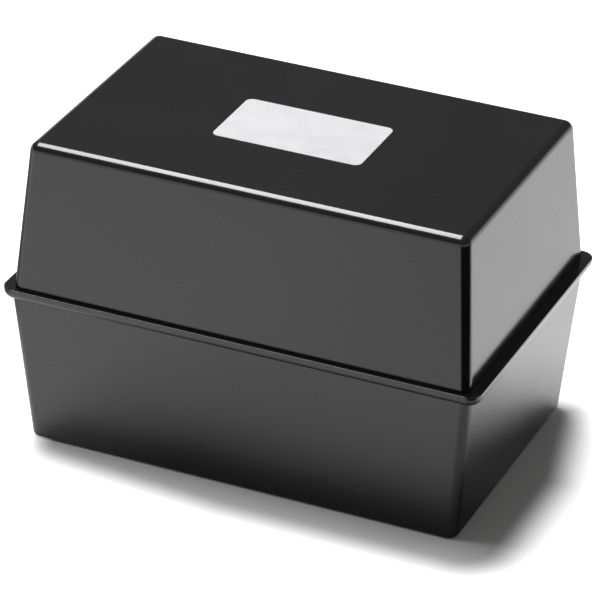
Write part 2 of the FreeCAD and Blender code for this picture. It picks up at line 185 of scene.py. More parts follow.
def add_bar(name: str, low: Point, high: Point) -> bpy.types.Object:
    """A straight bar between two opposite corners.

    Args:
        name: the bar's name.
        low: the corner with the lowest coordinates.
        high: the corner with the highest coordinates.

    Returns:
        The bar, with its place in its mesh.
    """
    centre = (Vector(low) + Vector(high)) / 2
    span = Vector(high) - Vector(low)
    piece = add_block(name, (span.x, span.y), (span.x, span.y), (-span.z / 2, span.z / 2))
    piece.data.transform(Matrix.Translation(centre))
    return piece


def add_rod(name: str, radius: float, width: float, centre: Point, sides: int = 48) -> bpy.types.Object:
    """A round rod along the box's width.

    Args:
        name: the rod's name.
        radius: its radius.
        width: its length along X.
        centre: its middle.
        sides: flats around it.

    Returns:
        The rod, with its place in its mesh.
    """
    deselect_all()
    bpy.ops.mesh.primitive_cylinder_add(
        vertices=sides, radius=radius, depth=width, location=centre, rotation=(0, math.pi / 2, 0)
    )
    piece = name_active(name)
    bpy.ops.object.transform_apply(location=True, rotation=True, scale=True)
    return piece


def add_prism(name: str, outline: list[Pair], width: float, middle: float) -> bpy.types.Object:
    """A bar along the box's width from its outline, seen from the side.

    Args:
        name: the bar's name.
        outline: corners as places along Y and Z, in turn.
        width: its length along X.
        middle: the place of its middle along X.

    Returns:
        The bar, with its place in its mesh.
    """
    mesh = bmesh.new()
    start = middle - width / 2
    face = mesh.faces.new([mesh.verts.new((start, along, up)) for along, up in outline])
    extruded = bmesh.ops.extrude_face_region(mesh, geom=[face])
    moved = [part for part in extruded["geom"] if isinstance(part, bmesh.types.BMVert)]
    bmesh.ops.translate(mesh, verts=moved, vec=(width, 0, 0))
    bmesh.ops.recalc_face_normals(mesh, faces=mesh.faces)
    data = bpy.data.meshes.new(name)
    mesh.to_mesh(data)
    mesh.free()
    piece = bpy.data.objects.new(name, data)
    bpy.context.collection.objects.link(piece)
    return piece


def arc(centre: Pair, radius: float, first: float, last: float, steps: int) -> list[Pair]:
    """Places on an arc, seen from the side.

    Args:
        centre: its centre.
        radius: its radius.
        first: the angle it starts at, in degrees from the back upwards.
        last: the angle it ends at.
        steps: chords along it.

    Returns:
        The places, in turn.
    """
    angles = [math.radians(first + (last - first) * step / steps) for step in range(steps + 1)]
    return [(centre[0] + radius * math.cos(angle), centre[1] + radius * math.sin(angle)) for angle in angles]


def add_disc(name: str, radius: float, levels: Pair, centre: Pair, sides: int = 40) -> bpy.types.Object:
    """An upright disc.

    Args:
        name: the disc's name.
        radius: its radius.
        levels: heights of its two faces.
        centre: its middle, seen from above.
        sides: flats around it.

    Returns:
        The disc, with its place in its mesh.
    """
    low, high = levels
    deselect_all()
    bpy.ops.mesh.primitive_cylinder_add(
        vertices=sides, radius=radius, depth=high - low, location=(*centre, (low + high) / 2)
    )
    piece = name_active(name)
    bpy.ops.object.transform_apply(location=True, rotation=True, scale=True)
    return piece


def round_edges(
    piece: bpy.types.Object, wanted: Callable[[bmesh.types.BMEdge], bool], radius: float, segments: int
) -> None:
    """Rounds the edges that pass a test.

    Args:
        piece: the solid.
        wanted: the test for an edge.
        radius: how far the rounding reaches from the edge.
        segments: facets across the rounding.
    """
    with editing(piece):
        select(piece, Pick.EDGES, wanted)
        bpy.ops.mesh.bevel(
            offset=radius, offset_type="OFFSET", segments=segments, profile=0.5,
            affect="EDGES", clamp_overlap=False,
        )


def is_level(height: float) -> Callable[[bmesh.types.BMEdge], bool]:
    """A test for edges that lie at one height."""
    return lambda edge: all(abs(corner.co.z - height) < NEAR for corner in edge.verts)


def is_upright(edge: bmesh.types.BMEdge) -> bool:
    """A test for edges that run up the block's four corners."""
    return abs(edge.verts[0].co.z - edge.verts[1].co.z) > NEAR


def combine(piece: bpy.types.Object, other: bpy.types.Object, join: Join) -> None:
    """Adds another solid to a piece or cuts it away, and removes the other one.

    Args:
        piece: the solid that stays.
        other: the solid that is used up.
        join: add or cut.
    """
    pick_only(piece)
    modifier = piece.modifiers.new("combine", "BOOLEAN")
    modifier.operation = join.value
    modifier.solver = "EXACT"
    modifier.object = other
    bpy.ops.object.modifier_apply(modifier=modifier.name)
    bpy.data.objects.remove(other)


def copy_of(piece: bpy.types.Object, name: str, shift: Point) -> bpy.types.Object:
    """A copy with a mesh of its own, moved by some way.

    Args:
        piece: what is copied.
        name: the copy's name.
        shift: how far its mesh is moved.

    Returns:
        The copy.
    """
    twin = piece.copy()
    twin.data = piece.data.copy()
    twin.name = name
    twin.data.name = name
    twin.data.transform(Matrix.Translation(shift))
    bpy.context.collection.objects.link(twin)
    return twin


def smooth(piece: bpy.types.Object, angle: float) -> None:
    """Shades a piece smooth up to an angle, with its large flats kept flat.

    Args:
        piece: the piece.
        angle: the sharpest turn, in radians, that is shaded smooth.
    """
    pick_only(piece)
    bpy.ops.object.shade_smooth_by_angle(angle=angle)
    modifier = piece.modifiers.new("flats", "WEIGHTED_NORMAL")
    modifier.keep_sharp = True
    modifier.weight = 100
    bpy.ops.object.modifier_apply(modifier=modifier.name)


def colour(code: str) -> tuple[float, float, float, float]:
    """Turns an sRGB hex value into the linear colour that a shader takes.

    Args:
        code: six hex digits after a hash sign.

    Returns:
        Red, green, blue and an alpha of 1.
    """
    def linear(share: float) -> float:
        """The linear value of one sRGB channel."""
        return share / 12.92 if share <= 0.04045 else ((share + 0.055) / 1.055) ** 2.4

    red, green, blue = (linear(int(code[i:i + 2], 16) / 255) for i in (1, 3, 5))
    return red, green, blue, 1.0


def add_node(tree: bpy.types.NodeTree, kind: str, inputs: dict | None = None, **settings) -> bpy.types.Node:
    """Adds a node with its settings, plain input values and links.

    Args:
        tree: the node tree.
        kind: the node's type.
        inputs: plain values or output sockets by input name or number.
        settings: the node's own properties.

    Returns:
        The node.
    """
    node = tree.nodes.new(kind)
    for name, value in settings.items():
        setattr(node, name, value)
    for key, value in (inputs or {}).items():
        if isinstance(value, bpy.types.NodeSocket):
            tree.links.new(value, node.inputs[key])
        else:
            node.inputs[key].default_value = value
    return node


def new_material(name: str) -> tuple[bpy.types.Material, bpy.types.NodeTree, bpy.types.NodeSocket]:
    """An empty material whose patterns follow the object's own coordinates.

    Args:
        name: the real material's name.

    Returns:
        The material, its node tree, and the socket with places in millimetres.
    """
    material = bpy.data.materials.new(name)
    material.use_nodes = True
    tree = material.node_tree
    tree.nodes.clear()
    place = add_node(tree, "ShaderNodeTexCoord")
    grid = add_node(
        tree, "ShaderNodeVectorMath", {0: place.outputs["Object"], 1: (1 / MM, 1 / MM, 1 / MM)},
        operation="MULTIPLY",
    )
    return material, tree, grid.outputs["Vector"]


def finish_surface(tree: bpy.types.NodeTree, shader: bpy.types.Node) -> None:
    """Leads a shader to the material's output."""
    add_node(tree, "ShaderNodeOutputMaterial", {"Surface": shader.outputs[0]})


def noise(
    tree: bpy.types.NodeTree, place: bpy.types.NodeSocket, size: float,
    detail: float = 3.0, rough: float = 0.5,
) -> bpy.types.NodeSocket:
    """Grey noise whose lumps are a real size in millimetres.

    Args:
        tree: the node tree.
        place: the socket with places in millimetres.
        size: the size of a lump.
        detail: how many finer layers it has.
        rough: how strong those layers are.

    Returns:
        The socket with values around one half.
    """
    node = add_node(
        tree, "ShaderNodeTexNoise",
        {"Vector": place, "Scale": 1 / size, "Detail": detail, "Roughness": rough},
    )
    return node.outputs["Fac"]


def remap(
    tree: bpy.types.NodeTree, value: bpy.types.NodeSocket, source: Pair, target: Pair, soft: bool = False
) -> bpy.types.NodeSocket:
    """Maps one range of values to another and holds it there.

    Args:
        tree: the node tree.
        value: the values.
        source: the range that they come in.
        target: the range that they leave in.
        soft: true for a slow start and end.

    Returns:
        The socket with the new values.
    """
    node = add_node(
        tree, "ShaderNodeMapRange",
        {
            "Value": value, "From Min": source[0], "From Max": source[1],
            "To Min": target[0], "To Max": target[1],
        },
        interpolation_type="SMOOTHSTEP" if soft else "LINEAR",
    )
    return node.outputs["Result"]


def stretch(tree: bpy.types.NodeTree, place: bpy.types.NodeSocket, scale: Point) -> bpy.types.NodeSocket:
    """Places drawn out along an axis, for scratches and fibres.

    Args:
        tree: the node tree.
        place: the socket with places in millimetres.
        scale: how much each axis is multiplied; small values draw a pattern out.

    Returns:
        The socket with the new places.
    """
    node = add_node(tree, "ShaderNodeMapping", {"Vector": place, "Scale": scale})
    return node.outputs["Vector"]


@dataclass(frozen=True)
class MouldedPolystyrene:
    """Black general-purpose polystyrene, injection moulded in a polished tool.

    The polish gives clear but slightly soft reflections. The flow of the melt leaves a faint long wave in
    them, handling leaves hairlines, and the outer edges are rubbed a little duller and greyer.
    """

    name: str = "black_polystyrene_moulded"
    body: str = "#151516"
    rubbed: str = "#2C2C2E"
    roughness: Pair = (0.15, 0.20)
    ior: float = 1.59
    specular: float = 0.7
    wave_size: float = 34.0
    wave_height: float = 0.01
    grain_size: float = 0.9
    grain_height: float = 0.0016
    hairline_width: float = 0.35
    hairline_draw: Point = (0.03, 0.6, 0.6)
    hairline_span: Pair = (0.68, 0.76)
    hairline_roughness: float = 0.07
    edge_reach: float = 0.45
    edge_turn: Pair = (0.995, 0.90)
    rub_size: float = 2.2
    rub_span: Pair = (0.42, 0.62)
    rub_roughness: float = 0.18

    def build(self) -> bpy.types.Material:
        """Makes the material and returns it."""
        material, tree, place = new_material(self.name)
        cloud = noise(tree, place, self.wave_size, detail=2.0)
        hairline_place = stretch(tree, place, self.hairline_draw)
        hairline = noise(tree, hairline_place, self.hairline_width, detail=2.0, rough=0.6)
        hairline_mark = remap(tree, hairline, self.hairline_span, NONE_TO_ALL)

        true_normal = add_node(tree, "ShaderNodeNewGeometry").outputs["Normal"]
        soft_normal = add_node(tree, "ShaderNodeBevel", {"Radius": self.edge_reach * MM}, samples=4)
        turn = add_node(
            tree, "ShaderNodeVectorMath", {0: true_normal, 1: soft_normal.outputs["Normal"]},
            operation="DOT_PRODUCT",
        )
        edge = remap(tree, turn.outputs["Value"], self.edge_turn, NONE_TO_ALL)
        patch = noise(tree, place, self.rub_size, detail=4.0, rough=0.7)
        patch = remap(tree, patch, self.rub_span, NONE_TO_ALL)
        wear = add_node(tree, "ShaderNodeMath", {0: edge, 1: patch}, operation="MULTIPLY").outputs[0]

        tint = add_node(
            tree, "ShaderNodeMix", {"Factor": wear, "A": colour(self.body), "B": colour(self.rubbed)},
            data_type="RGBA",
        )
        base_rough = remap(tree, cloud, MIDDLE_GREYS, self.roughness)
        scratch_rough = add_node(
            tree, "ShaderNodeMath", {0: hairline_mark, 1: self.hairline_roughness, 2: base_rough},
            operation="MULTIPLY_ADD",
        ).outputs[0]
        rough = add_node(
            tree, "ShaderNodeMath", {0: wear, 1: self.rub_roughness, 2: scratch_rough},
            operation="MULTIPLY_ADD",
        ).outputs[0]
        wave = add_node(
            tree, "ShaderNodeBump", {"Height": cloud, "Distance": self.wave_height * MM, "Strength": 1.0}
        )
        grain = add_node(
            tree, "ShaderNodeBump",
            {
                "Height": noise(tree, place, self.grain_size, detail=3.0), "Distance": self.grain_height * MM,
                "Normal": wave.outputs["Normal"],
            },
        )
        shader = add_node(
            tree, "ShaderNodeBsdfPrincipled",
            {
                "Base Color": tint.outputs["Result"], "Roughness": rough, "IOR": self.ior,
                "Specular IOR Level": self.specular, "Normal": grain.outputs["Normal"],
            },
        )
        finish_surface(tree, shader)
        return material


@dataclass(frozen=True)
class LabelPaper:
    """White uncoated label paper: matt, with a fine felt of fibres and a hint of cloudiness."""

    name: str = "white_label_paper"
    body: str = "#E9E9EB"
    cloudy: str = "#E2E2E6"
    roughness: Pair = (0.78, 0.9)
    ior: float = 1.45
    specular: float = 0.3
    fibre_size: float = 0.35
    fibre_draw: Point = (0.5, 1.0, 1.0)
    fibre_height: float = 0.012
    cloud_size: float = 7.0
    cloud_span: Pair = (0.35, 0.65)

    def build(self) -> bpy.types.Material:
        """Makes the material and returns it."""
        material, tree, place = new_material(self.name)
        fibre = noise(tree, stretch(tree, place, self.fibre_draw), self.fibre_size, detail=4.0, rough=0.65)
        cloud = remap(tree, noise(tree, place, self.cloud_size), self.cloud_span, NONE_TO_ALL)
        tint = add_node(
            tree, "ShaderNodeMix", {"Factor": cloud, "A": colour(self.body), "B": colour(self.cloudy)},
            data_type="RGBA",
        )
        bump = add_node(tree, "ShaderNodeBump", {"Height": fibre, "Distance": self.fibre_height * MM})
        shader = add_node(
            tree, "ShaderNodeBsdfPrincipled",
            {
                "Base Color": tint.outputs["Result"],
                "Roughness": remap(tree, fibre, MIDDLE_GREYS, self.roughness),
                "IOR": self.ior, "Specular IOR Level": self.specular, "Normal": bump.outputs["Normal"],
            },
        )
        finish_surface(tree, shader)
        return material


@dataclass(frozen=True)
class DrawnSteel:
    """Bright drawn steel wire: fine die lines along it and a soft stretched highlight."""

    name: str = "drawn_steel_wire"
    body: str = "#B9BBBE"
    roughness: Pair = (0.2, 0.38)
    anisotropy: float = 0.4
    line_width: float = 0.12
    line_draw: Point = (0.02, 1.0, 1.0)
    line_height: float = 0.004

    def build(self) -> bpy.types.Material:
        """Makes the material and returns it."""
        material, tree, place = new_material(self.name)
        lines = noise(tree, stretch(tree, place, self.line_draw), self.line_width, detail=3.0, rough=0.6)
        bump = add_node(tree, "ShaderNodeBump", {"Height": lines, "Distance": self.line_height * MM})
        shader = add_node(
            tree, "ShaderNodeBsdfPrincipled",
            {
                "Base Color": colour(self.body), "Metallic": 1.0, "Anisotropic": self.anisotropy,
                "Roughness": remap(tree, lines, MIDDLE_GREYS, self.roughness),
                "Normal": bump.outputs["Normal"],
            },
        )
        finish_surface(tree, shader)
        return material


@dataclass(frozen=True)
class GuideBoard:
    """Buff pressboard, calendered smooth: warm, almost matt, with darker flecks of fibre in it."""

    name: str = "buff_pressboard"
    body: str = "#D3B67C"
    fleck: str = "#A98A55"
    pale: str = "#E0C893"
    roughness: Pair = (0.6, 0.76)
    ior: float = 1.45
    specular: float = 0.35
    fibre_size: float = 0.3
    fibre_draw: Point = (0.35, 1.0, 1.0)
    fibre_height: float = 0.01
    fleck_length: float = 1.1
    fleck_span: Pair = (0.58, 0.72)
    fleck_share: float = 0.7
    cloud_size: float = 12.0
    cloud_span: Pair = (0.35, 0.65)
    cloud_share: float = 0.6

    def build(self) -> bpy.types.Material:
        """Makes the material and returns it."""
        material, tree, place = new_material(self.name)
        drawn_out = stretch(tree, place, self.fibre_draw)
        fleck = remap(
            tree, noise(tree, drawn_out, self.fleck_length, detail=5.0, rough=0.7),
            self.fleck_span, (0.0, self.fleck_share),
        )
        cloud = remap(
            tree, noise(tree, place, self.cloud_size), self.cloud_span, (0.0, self.cloud_share)
        )
        tint = add_node(
            tree, "ShaderNodeMix", {"Factor": cloud, "A": colour(self.body), "B": colour(self.pale)},
            data_type="RGBA",
        )
        flecked = add_node(
            tree, "ShaderNodeMix", {"Factor": fleck, "A": tint.outputs["Result"], "B": colour(self.fleck)},
            data_type="RGBA",
        )
        fibre = noise(tree, drawn_out, self.fibre_size, detail=4.0, rough=0.6)
        bump = add_node(tree, "ShaderNodeBump", {"Height": fibre, "Distance": self.fibre_height * MM})
        shader = add_node(
            tree, "ShaderNodeBsdfPrincipled",
            {
                "Base Color": flecked.outputs["Result"],
                "Roughness": remap(tree, fibre, MIDDLE_GREYS, self.roughness),
                "IOR": self.ior, "Specular IOR Level": self.specular, "Normal": bump.outputs["Normal"],
            },
        )
        finish_surface(tree, shader)
        return material


@dataclass(frozen=True)
class PrintedInk:
    """Black offset ink on board: dense, half matt, a little uneven where the board drinks it."""

    name: str = "black_printing_ink"
    body: str = "#1C1B1D"
    starved: str = "#343235"
    roughness: Pair = (0.5, 0.7)
    patch_size: float = 0.5
    patch_span: Pair = (0.5, 0.7)

    def build(self) -> bpy.types.Material:
        """Makes the material and returns it."""
        material, tree, place = new_material(self.name)
        patches = noise(tree, place, self.patch_size, detail=4.0, rough=0.7)
        uneven = remap(tree, patches, self.patch_span, NONE_TO_ALL)
        tint = add_node(
            tree, "ShaderNodeMix", {"Factor": uneven, "A": colour(self.body), "B": colour(self.starved)},
            data_type="RGBA",
        )
        shader = add_node(
            tree, "ShaderNodeBsdfPrincipled",
            {
                "Base Color": tint.outputs["Result"],
                "Roughness": remap(tree, uneven, NONE_TO_ALL, self.roughness),
            },
        )
        finish_surface(tree, shader)
        return material


@dataclass(frozen=True)
class SweepPaper:
    """The studio's pale matt floor, which runs out to a white backdrop round the box.

    Close to the box the floor is only lit by the lamp, so that it keeps the shadow. Further out, camera rays
    see it as white; where that white sets in is a painted outline, which cuts the shadow off. Mirror rays see
    a painted reflection instead: bright behind the box and at its back right, dim in front of it, faded out
    close to the box as painted shade, and darkened in painted dark zones at the right, the left and just in
    front, which draw the dark lines along the box's upright corners and darken the foot of its walls.
    """

    name: str = "white_studio_floor"
    body: str = "#EEEEEE"
    roughness: float = 0.95
    # Painted outline where camera rays start to see white: a ring round a shifted footprint, leaning back and
    # to the left by the leans below, which cuts the lamp's real shadow off.
    footprint: Point = (76.0, 49.0, 0.0)
    shadow_shift: Point = (8.0, -2.0, 0.0)
    clear_ring: Pair = (9.0, 28.0)
    # Ring where the painted reflection fades out close to the box, painting shade into the box's reflections.
    painted_reflection_shade_ring: Pair = (6.0, 24.0)
    back_lean: float = 0.24
    left_lean: float = 0.1
    # Levels and spans of the painted reflection brightness that mirror rays see on the floor.
    painted_reflection_front_level: float = 0.22
    painted_reflection_left_level: float = 0.1
    left_side: Pair = (0.0, -110.0)
    behind: Pair = (-40.0, 110.0)
    far_front: Pair = (-600.0, -420.0)
    right_side: Pair = (60.0, 95.0)
    painted_reflection_right_span: Pair = (70.0, 190.0)
    # Painted dark reflections, which only mirror rays see: at the right, at the left and just in front of the
    # box.
    painted_dark_reflection_right: tuple[Pair, Pair] = ((60.0, 110.0), (225.0, 285.0))
    painted_dark_reflection_left: tuple[Pair, Pair] = ((-120.0, -180.0), (-160.0, -100.0))
    painted_dark_reflection_left_share: float = 0.7
    painted_shade_reflection_below: tuple[Pair, Pair] = ((-80.0, -20.0), (42.0, 5.0))
    painted_shade_reflection_below_front: Pair = (0.0, -40.0)
    painted_shade_reflection_below_share: float = 0.6

    def build(self) -> bpy.types.Material:
        """Makes the material and returns it."""
        material, tree, place = new_material(self.name)

        def vector(
            operation: str, first: bpy.types.NodeSocket, second: Point | None = None,
        ) -> bpy.types.Node:
            """Adds one vector sum, of one or two values."""
            inputs = {0: first} if second is None else {0: first, 1: second}
            return add_node(tree, "ShaderNodeVectorMath", inputs, operation=operation)

        def joined(operation: str, *values: bpy.types.NodeSocket | float) -> bpy.types.NodeSocket:
            """Joins two or more numbers by one kind of sum."""
            result = values[0]
            for value in values[1:]:
                sum_node = add_node(tree, "ShaderNodeMath", {0: result, 1: value}, operation=operation)
                result = sum_node.outputs[0]
            return result

        axes = add_node(tree, "ShaderNodeSeparateXYZ", {0: place})
        across, along = axes.outputs["X"], axes.outputs["Y"]

        def fade(value: bpy.types.NodeSocket, span: Pair, levels: Pair = NONE_TO_ALL) -> bpy.types.NodeSocket:
            """Goes softly from one level to the other while the value crosses its span."""
            return remap(tree, value, span, levels, True)

        # Distance from the shifted, leaning footprint: the painted outline of the camera's white, which trims
        # the real shadow, and of the painted shade in the reflections.
        shifted = vector("SUBTRACT", place, self.shadow_shift).outputs["Vector"]
        beyond = vector("SUBTRACT", vector("ABSOLUTE", shifted).outputs["Vector"], self.footprint)
        outside = vector("MAXIMUM", beyond.outputs["Vector"], (0.0, 0.0, 0.0))
        distance = vector("LENGTH", outside.outputs["Vector"]).outputs["Value"]
        leaning = joined("ADD", distance, joined("MULTIPLY", joined("MAXIMUM", along, 0.0), self.back_lean))
        to_the_left = joined("MAXIMUM", joined("MULTIPLY", across, -1.0), 0.0)
        shade = joined("ADD", leaning, joined("MULTIPLY", to_the_left, self.left_lean))

        # Painted dark reflections: zones at the right, at the left and just in front of the box where mirror
        # rays see the floor darkened, which draw the dark lines along the box's upright corners and darken
        # the foot of its walls.
        painted_dark_zones = [
            joined(
                "MULTIPLY", fade(across, self.painted_dark_reflection_right[0]),
                fade(joined("SUBTRACT", across, along), self.painted_dark_reflection_right[1]),
            ),
            joined(
                "MULTIPLY", fade(across, self.painted_dark_reflection_left[0]),
                fade(along, self.painted_dark_reflection_left[1], (0.0, self.painted_dark_reflection_left_share)),
            ),
            joined(
                "MULTIPLY", fade(across, self.painted_shade_reflection_below[0]),
                fade(distance, self.painted_shade_reflection_below[1], (0.0, self.painted_shade_reflection_below_share)),
                fade(along, self.painted_shade_reflection_below_front),
            ),
        ]
        # All painted dark zones joined, and the share of the floor outside them.
        dark = joined("MAXIMUM", *painted_dark_zones)
        pale = joined("SUBTRACT", 1.0, dark)
        # Painted reflection brightness that mirror rays see: dim in front of the box, full behind it, a
        # little more at the left, and at the right rising towards the back.
        painted_reflection_in_front = joined(
            "MULTIPLY", fade(along, self.behind, (self.painted_reflection_front_level, 1.0)), fade(along, self.far_front)
        )
        painted_reflection_in_front = joined("ADD", painted_reflection_in_front, fade(across, self.left_side, (0.0, self.painted_reflection_left_level)))
        painted_reflection_at_right = fade(joined("ADD", across, along), self.painted_reflection_right_span)
        pattern = add_node(
            tree, "ShaderNodeMix", {"Factor": fade(across, self.right_side), "A": painted_reflection_in_front, "B": painted_reflection_at_right}
        )

        ray = add_node(tree, "ShaderNodeLightPath")
        mirror = ray.outputs["Is Glossy Ray"]
        straight = joined("MAXIMUM", ray.outputs["Is Camera Ray"], ray.outputs["Is Transmission Ray"])
        # Emission: white for camera and transmission rays outside the painted outline; for mirror rays the
        # painted reflection brightness, held back in the painted dark zones and faded out close to the box as
        # painted shade.
        glow = joined(
            "MAXIMUM",
            joined("MULTIPLY", straight, fade(shade, self.clear_ring)),
            joined("MULTIPLY", mirror, pattern.outputs["Result"], pale, fade(leaning, self.painted_reflection_shade_ring)),
        )
        # Painted dark reflection: the floor's colour turns black in the painted dark zones, for mirror rays
        # only.
        tint = add_node(
            tree, "ShaderNodeMix",
            {"Factor": joined("MULTIPLY", mirror, dark), "A": colour(self.body), "B": BLACK},
            data_type="RGBA",
        )
        shader = add_node(
            tree, "ShaderNodeBsdfPrincipled",
            {
                "Base Color": tint.outputs["Result"], "Roughness": self.roughness, "Specular IOR Level": 0.0,
                "Emission Color": WHITE, "Emission Strength": glow,
            },
        )
        finish_surface(tree, shader)
        return material


def dress(piece: bpy.types.Object, material: bpy.types.Material) -> None:
    """Gives every face of a piece one material."""
    piece.data.materials.clear()
    piece.data.materials.append(material)


@dataclass
class HingeLine:
    """Where the hinge is, read from the frame, and the sizes that ears and knuckles share."""

    spread: float = 0.0
    back: float = 0.0
    height: float = 0.0
    pin_radius: float = 0.0
    knuckle_width: float = 14.0 * MM
    ear_width: float = 5.0 * MM
    side_play: float = 0.3 * MM
    barrel_radius: float = 2.75 * MM
    edge_round: float = 0.25 * MM

    def __post_init__(self) -> None:
        """Reads the hinge's axis from the lid's joint and the pins' boxes."""
        joint = next(joint for joint in frame["joints"] if joint["name"] == "lid_hinge")
        self.back, self.height = joint["pos_m"][1], joint["pos_m"][2]
        low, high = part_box("hinge_pin_right")
        self.spread = (low[0] + high[0]) / 2
        self.pin_radius = (high[1] - low[1]) / 2


@dataclass
class BaseShell:
    """Lower moulding: drafted walls, rim with its ledge, hinge ears and cavity."""

    hinge: HingeLine
    body_name: str = "base"
    node_name: str = "base_tub"
    wall: float = 2.0 * MM
    floor: float = 2.4 * MM
    corner: float = 3.7 * MM
    inner_corner: float = 1.7 * MM
    foot_round: float = 1.6 * MM
    inner_round: float = 1.2 * MM
    rim_reach: Pair = (3.9 * MM, 2.2 * MM)
    lid_setback: float = 0.95 * MM
    rim_height: float = 4.3 * MM
    rim_corner: float = 5.0 * MM
    rim_top_round: float = 0.25 * MM
    rim_under_round: float = 3.2 * MM
    flare: Pair = (5.1 * MM, 5.0 * MM)
    ejector_radius: float = 4.0 * MM
    ejector_depth: float = 0.15 * MM
    ejector_inset: Pair = (24.0 * MM, 20.0 * MM)
    gate_radius: float = 3.2 * MM
    gate_depth: float = 0.5 * MM
    overrun: float = 1.0 * MM

    def __post_init__(self) -> None:
        """Takes the rim's outline and the ledge's height from the frame."""
        low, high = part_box(self.node_name)
        self.ledge = high[2]
        self.rim = (2 * high[0], -2 * low[1])
        self.top = tuple(
            side - 2 * (reach - self.lid_setback) for side, reach in zip(self.rim, self.rim_reach)
        )
        self.bottom = tuple(side - 2 * lean for side, lean in zip(self.top, self.flare))

    def side_at(self, height: float) -> Pair:
        """Width and depth of the outer walls at a height."""
        share = height / self.ledge
        return tuple(low + (high - low) * share for low, high in zip(self.bottom, self.top))

    def outside(self) -> bpy.types.Object:
        """The solid outer form with its rim."""
        shoulder = self.ledge - self.rim_height / 2
        tub = add_block("base_moulding", self.bottom, self.side_at(shoulder), (0.0, shoulder))
        round_edges(tub, is_upright, self.corner, Facets.BROAD)
        round_edges(tub, is_level(0.0), self.foot_round, Facets.SMALL)
        under = self.ledge - self.rim_height
        rim = add_block("rim", self.rim, self.rim, (under, self.ledge))
        round_edges(rim, is_upright, self.rim_corner, Facets.WIDE)
        round_edges(rim, is_level(self.ledge), self.rim_top_round, Facets.SLIM)
        round_edges(rim, is_level(under), self.rim_under_round, Facets.BROAD)
        combine(tub, rim, Join.ADD)
        return tub

    def cavity(self) -> bpy.types.Object:
        """The solid that the inside is cut with."""
        above = self.ledge + self.overrun
        inner = [
            tuple(side - 2 * self.wall for side in self.side_at(height)) for height in (self.floor, above)
        ]
        core = add_block("cavity", inner[0], inner[1], (self.floor, above))
        round_edges(core, is_upright, self.inner_corner, Facets.MIDDLE)
        round_edges(core, is_level(self.floor), self.inner_round, Facets.SMALL)
        return core

    def add_ears(self, tub: bpy.types.Object) -> None:
        """Adds the ears of both hinges and bores them for the pins."""
        hinge = self.hinge
        root = self.top[1] / 2 - self.wall / 2
        under, over = self.ledge - 2 * hinge.barrel_radius, self.ledge - NEAR
        half_span = hinge.knuckle_width / 2 + hinge.side_play + hinge.ear_width
        side_view = [(root, over), (root, under)]
        side_view += arc((hinge.back, (under + over) / 2), (over - under) / 2, -90, 90, Facets.EAR)
        for side in (-1, 1):
            middle = side * hinge.spread
            for turn in (-1, 1):
                centre = middle + turn * (half_span - hinge.ear_width / 2)
                ear = add_prism("ear", side_view, hinge.ear_width, centre)
                ends = [centre - hinge.ear_width / 2, centre + hinge.ear_width / 2]

                def is_end_edge(edge: bmesh.types.BMEdge) -> bool:
                    """Picks the edges round the ear's two flat ends."""
                    first, last = edge.verts
                    level = abs(first.co.x - last.co.x) < NEAR
                    return level and any(abs(first.co.x - end) < NEAR for end in ends)

                round_edges(ear, is_end_edge, hinge.edge_round, Facets.FINE)
                combine(tub, ear, Join.ADD)
            half_slot = half_span - hinge.ear_width / 2
            web = add_bar(
                "web", (middle - half_slot, root, under + hinge.edge_round),
                (middle + half_slot, self.rim[1] / 2 - hinge.edge_round, self.ledge - self.rim_height / 2),
            )
            combine(tub, web, Join.ADD)
            bore = add_rod(
                "bore", hinge.pin_radius, 2 * half_span + 2 * self.overrun, (middle, hinge.back, hinge.height)
            )
            combine(tub, bore, Join.CUT)

    def add_tool_marks(self, tub: bpy.types.Object) -> None:
        """Sinks the round marks of the ejector pins in the floor and the gate's dimple under it."""
        depth = self.ejector_depth
        half_width, half_depth = self.bottom[0] / 2, self.bottom[1] / 2
        for across in (-1, 1):
            for along in (-1, 1):
                centre = (
                    across * (half_width - self.ejector_inset[0]),
                    along * (half_depth - self.ejector_inset[1]),
                )
                mark = add_disc("mark", self.ejector_radius, (self.floor - depth, self.floor + depth), centre)
                combine(tub, mark, Join.CUT)
        gate = add_disc("gate", self.gate_radius, (-self.gate_depth, self.gate_depth), (0.0, 0.0))
        round_edges(gate, is_level(self.gate_depth), self.gate_depth / 2, Facets.FINE)
        combine(tub, gate, Join.CUT)

    def build(self, plastic: bpy.types.Material) -> bpy.types.Object:
        """Models the shell, dresses it and puts it in the place of its plain solid.

        Args:
            plastic: the shell's material.

        Returns:
            The finished shell.
        """
        tub = self.outside()
        combine(tub, self.cavity(), Join.CUT)
        self.add_ears(tub)
        self.add_tool_marks(tub)
        smooth(tub, SMOOTH_TURN)
        dress(tub, plastic)
        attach(tub, self.body_name)
        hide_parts(self.node_name)
        return tub


